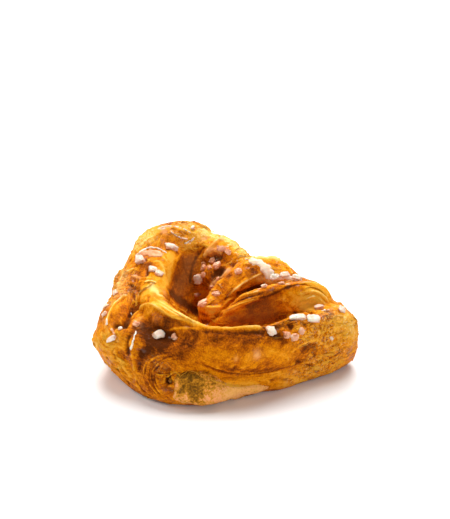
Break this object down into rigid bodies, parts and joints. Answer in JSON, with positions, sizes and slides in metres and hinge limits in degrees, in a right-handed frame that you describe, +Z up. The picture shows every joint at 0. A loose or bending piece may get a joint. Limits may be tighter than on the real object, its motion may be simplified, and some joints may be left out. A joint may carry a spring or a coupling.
{
  "type": "cream bun",
  "caption": "Baked laminated pastry roll looped into a rounded triangle, with a deep hollow, a tucked-in end and cream showing at the roll's open end.",
  "frame": {"origin": "middle of the footprint, on the surface that the bun rests on", "axes": "+Z up, +X along the length towards the tapered tip, -Y towards the front, where the roll's open end shows cream"},
  "size_m": [0.1009, 0.0831, 0.0435],
  "materials": {
    "crust": "glazed, flaky, golden to red-brown baked crust",
    "cream": "soft, pale, mottled baked cream",
    "sugar": "white, slightly translucent pearl sugar",
    "icing": "thin, melted, cream-coloured sugar icing"
  },
  "bodies": {
    "root": {"dough": "crust", "cream": "cream"}
  },
  "joints": []
}
